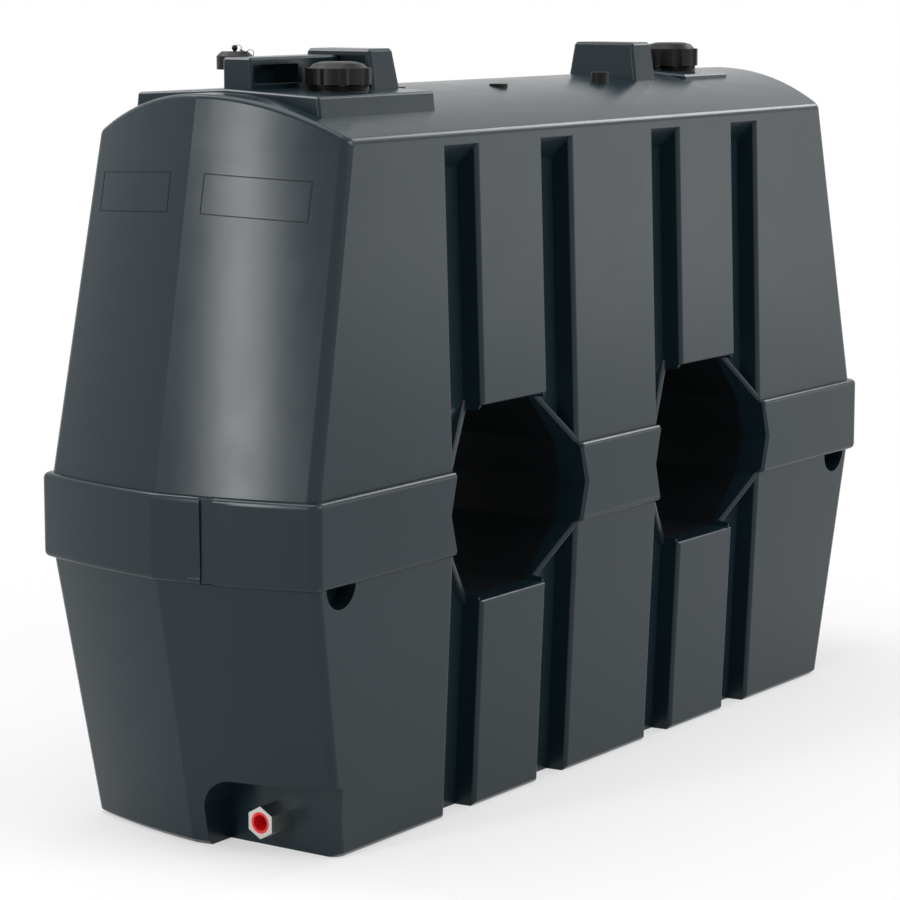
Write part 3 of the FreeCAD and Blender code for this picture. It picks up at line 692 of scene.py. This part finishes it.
@dataclass
class VentKeeper:
    """The ball on the vent's cap and the wire rings that hold the cap to the guard box.

    Attributes:
        ball_radius: The ball's radius.
        ball_rise: How far the ball's middle is above the cap.
        ball_columns: How many faces the ball has round its axis.
        ball_rows: How many faces the ball has from pole to pole.
        rings: How many rings there are.
        ring_radius: A ring's radius, to the middle of its wire.
        ring_steps: How many steps a ring has.
        wire: The wire's radius.
        wire_sides: How many sides the wire has.
        reach: The way from the ball to the last ring's end.
        lean: How far each ring leans from upright or level.
    """

    ball_radius: float = 0.0055
    ball_rise: float = 0.0022
    ball_columns: int = 20
    ball_rows: int = 12
    rings: int = 3
    ring_radius: float = 0.0078
    ring_steps: int = 28
    wire: float = 0.0008
    wire_sides: int = 6
    reach: Vector = field(default_factory=lambda: Vector((0.004, -0.038, -0.012)))
    lean: float = 20.0

    def build(self) -> list[bpy.types.Object]:
        """Make the ball and the rings.

        Returns:
            The ball, and the rings as one piece.
        """
        low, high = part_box("vent_cap")
        centre = Vector(((low.x + high.x) / 2, (low.y + high.y) / 2, high.z + self.ball_rise))
        ball = bmesh.new()
        bmesh.ops.create_uvsphere(
            ball, u_segments=self.ball_columns, v_segments=self.ball_rows, radius=self.ball_radius
        )
        bmesh.ops.translate(ball, verts=ball.verts[:], vec=centre)
        return [piece("vent_ball", ball, CAP_FINISH), self._keeper(centre)]

    def _keeper(self, start: Vector) -> bpy.types.Object:
        """Link the rings from the ball to the guard box, each turned a quarter from the last.

        Args:
            start: The ball's middle.

        Returns:
            The rings.
        """
        mesh = bmesh.new()
        along = self.reach.to_track_quat("X", "Z").to_matrix().to_4x4()
        for number in range(self.rings):
            spot = start + self.reach * ((number + 0.5) / self.rings)
            roll = QUARTER_TURN * ((number + 1) % 2) - math.radians(self.lean)
            self._ring(mesh, Matrix.Translation(spot) @ along @ Matrix.Rotation(roll, 4, "X"))
        return piece("vent_chain", mesh, CHAIN_FINISH)

    def _ring(self, mesh: bmesh.types.BMesh, place: Matrix) -> None:
        """Add one ring by spinning a wire's section.

        Args:
            mesh: The mesh that takes the ring.
            place: Where the ring goes, from its own centre and plane.
        """
        section = bmesh.ops.create_circle(mesh, segments=self.wire_sides, radius=self.wire)["verts"]
        upright = Matrix.Rotation(QUARTER_TURN, 3, "X")
        bmesh.ops.rotate(mesh, verts=section, cent=(0, 0, 0), matrix=upright)
        bmesh.ops.translate(mesh, verts=section, vec=(self.ring_radius, 0, 0))
        bmesh.ops.transform(mesh, matrix=place, verts=section)
        spin_ring(mesh, section, place.translation, place.to_3x3() @ UP, self.ring_steps)


@dataclass
class WindowLips:
    """The raised lips on the haunches of one window, which climb from the channels' floors to the belt.

    Attributes:
        end: The end that the window is near.
        reach: How far the lips' ends at the belt are from the window's middle, along X.
        root: The lips' innermost distance from the tank's middle plane, under the channel's floor.
        foot: The crest's distance from that plane at the window panel.
        crest: The crest's distance from that plane at the belt.
        back: How far a lip stands back from the window's opening.
        thickness: How far a lip reaches from the opening.
        rounding: How far the crest's rounding reaches.
        segments: How many flats the rounding has.
    """

    end: End
    reach: float = 0.209
    root: float = 0.250
    foot: float = 0.262
    crest: float = 0.301
    back: float = 0.0005
    thickness: float = 0.014
    rounding: float = 0.006
    segments: int = 4

    def build(self) -> bpy.types.Object:
        """Make the eight lips, four on each long face.

        Returns:
            The lips, as one piece.
        """
        mesh = bmesh.new()
        head_low, head_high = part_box(f"{self.end.label}_window_head")
        sill_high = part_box(f"{self.end.label}_window_sill")[1]
        belt_low, belt_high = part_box("belt_front_middle")
        middle = (head_low.x + head_high.x) / 2
        half = (head_high.x - head_low.x) / 2
        for side in End:
            for tip, belt in ((head_low.z, belt_high.z), (sill_high.z, belt_low.z)):
                start = Vector((middle + side.value * half, 0, tip))
                stop = Vector((middle + side.value * self.reach, 0, belt))
                for face in LongFace:
                    self._lip(mesh, start, stop, face)
        return piece(f"{self.end.label}_lips", mesh, TANK_FINISH)

    def _lip(self, mesh: bmesh.types.BMesh, start: Vector, stop: Vector, face: LongFace) -> None:
        """Add one lip with a rounded crest.

        Args:
            mesh: The mesh that takes the lip.
            start: The corner at the window panel, in the middle plane of the tank.
            stop: The corner at the belt, in the middle plane of the tank.
            face: The long face that the lip is on.
        """
        depth = Vector((0, face.value, 0))
        away = (stop - start).cross(depth).normalized()
        if away.x * (stop.x - start.x) < 0:
            away.negate()
        levels = ((start, self.root), (start, self.foot), (stop, self.crest), (stop, self.root))
        corners = [spot + depth * level + away * self.back for spot, level in levels]
        side = mesh.faces.new([mesh.verts.new(corner) for corner in corners])
        swept = bmesh.ops.extrude_face_region(mesh, geom=[side])["geom"]
        moved = [item for item in swept if isinstance(item, bmesh.types.BMVert)]
        bmesh.ops.translate(mesh, verts=moved, vec=away * (self.thickness - self.back))
        bmesh.ops.recalc_face_normals(mesh, faces=mesh.faces[:])
        ridge = corners[2] - corners[1]
        edges = dict.fromkeys(edge for vert in [*side.verts, *moved] for edge in vert.link_edges)
        along = [edge for edge in edges if (edge.verts[1].co - edge.verts[0].co).cross(ridge).length < MERGE]
        round_edges(mesh, along, self.rounding, self.segments, clamped=True)


@dataclass(frozen=True)
class Lamp:
    """A soft rectangular lamp."""

    name: str
    spot: Vector
    width: float
    height: float
    power: float

    def hang(self, target: Vector) -> None:
        """Hang the lamp so that it looks at a point.

        Args:
            target: The point.
        """
        light = bpy.data.lights.new(self.name, "AREA")
        light.shape = "RECTANGLE"
        light.size = self.width
        light.size_y = self.height
        light.energy = self.power
        hung = bpy.data.objects.new(self.name, light)
        hung.location = self.spot
        hung.rotation_mode = "QUATERNION"
        hung.rotation_quaternion = (target - self.spot).to_track_quat("-Z", "Y")
        bpy.context.scene.collection.objects.link(hung)


@dataclass
class Studio:
    """The pale floor, the soft lamps and the white surroundings."""

    floor_size: float = 80.0
    lamps: tuple[Lamp, ...] = (
        Lamp("front_lamp", Vector((1.5, -6.0, 4.5)), 4.0, 4.0, 220.0),
        Lamp("side_lamp", Vector((6.0, -4.5, 1.1)), 2.8, 1.8, 20.0),
        Lamp("end_lamp", Vector((-6.0, 1.0, 2.2)), 0.8, 2.6, 115.0),
        Lamp("gable_lamp", Vector((-0.9, 3.6, 5.6)), 2.0, 2.0, 90.0),
        Lamp("eave_lamp", Vector((5.5, -1.2, 4.5)), 2.0, 2.0, 90.0),
        Lamp("top_lamp", Vector((-1.0, 0.5, 6.0)), 4.0, 4.0, 160.0),
    )
    target: Vector = field(default_factory=lambda: Vector((0.0, 0.0, 0.7)))
    ambient: float = 0.35

    def build(self) -> None:
        """Make the floor, the lamps and the world."""
        self._floor()
        for lamp in self.lamps:
            lamp.hang(self.target)
        self._world()

    def _floor(self) -> None:
        """Lay a plain floor at the tank's foot."""
        mesh = bmesh.new()
        bmesh.ops.create_grid(mesh, x_segments=1, y_segments=1, size=self.floor_size / 2)
        data = bpy.data.meshes.new("floor")
        mesh.to_mesh(data)
        mesh.free()
        floor = bpy.data.objects.new("floor", data)
        bpy.context.scene.collection.objects.link(floor)
        data.materials.append(FLOOR_FINISH.material())

    def _world(self) -> None:
        """White where it is seen or mirrored, and a dimmer ambient light elsewhere."""
        world = bpy.data.worlds.new("studio")
        world.use_nodes = True
        graph = Graph(world.node_tree)
        strength = self.ambient + graph.shown() * (1 - self.ambient)
        surface = graph.node("ShaderNodeBackground", {}, {"Color": WHITE, "Strength": strength})
        graph.node("ShaderNodeOutputWorld", {}, {"Surface": surface})
        bpy.context.scene.world = world


@dataclass
class PhotoCamera:
    """The camera at the photograph's view."""

    target: Vector = field(default_factory=lambda: Vector((-0.14591, 0.0, 0.61379)))
    azimuth: float = -55.466
    elevation: float = 8.808
    distance: float = 6.15715
    lens: float = 123.714
    sensor: float = 36.0

    def build(self) -> None:
        """Place the camera and make it the scene's own."""
        turn = math.radians(self.azimuth)
        rise = math.radians(self.elevation)
        back = Vector((math.sin(turn) * math.cos(rise), -math.cos(turn) * math.cos(rise), math.sin(rise)))
        lens = bpy.data.cameras.new("photo_camera")
        lens.lens = self.lens
        lens.sensor_width = self.sensor
        camera = bpy.data.objects.new("photo_camera", lens)
        camera.location = self.target + back * self.distance
        camera.rotation_mode = "QUATERNION"
        camera.rotation_quaternion = (-back).to_track_quat("-Z", "Y")
        bpy.context.scene.collection.objects.link(camera)
        bpy.context.scene.camera = camera


def round_nodes() -> None:
    """Show rounded copies of the roof, the pieces raised on it, the caps and the belt."""
    RoundedNode("roof", Edges.EAVES, width=0.009, segments=10, smooth_angle=9.0).build()
    for raised in ("left_roof_pad", "right_roof_pad", "left_turret", "right_turret", "left_guard_box"):
        RoundedNode(raised, Edges.RAISED, width=0.004, clamped=True).build()
    for cap in ("left_filler_cap", "right_filler_cap"):
        RoundedNode(cap, Edges.CROWN, width=0.013, segments=8, slot=Slot.CAP).build()
    for belt in ("belt_left", "belt_right", "belt_front_middle", "belt_back_middle"):
        RoundedNode(belt, Edges.SOFTENED, width=0.0034, segments=5, smooth_angle=9.0).build()


def add_details() -> None:
    """Add the panels' frames, the neck threads, the vent's keeper and the windows' lips."""
    for end in End:
        for half in LongFace:
            EndPanel(end, half).build()
    for end in End:
        NeckThread(end).build()
    VentKeeper().build()
    for end in End:
        WindowLips(end).build()


def main() -> None:
    """Build and dress every piece, then light and frame the tank."""
    logging.basicConfig(level=logging.INFO, format="%(name)s %(message)s")
    bpy.context.scene.view_settings.view_transform = "Standard"
    TankBody(frame["nodes"], frame["record"]).dress()
    round_nodes()
    add_details()
    Studio().build()
    PhotoCamera().build()


if __name__ == "__main__":
    main()
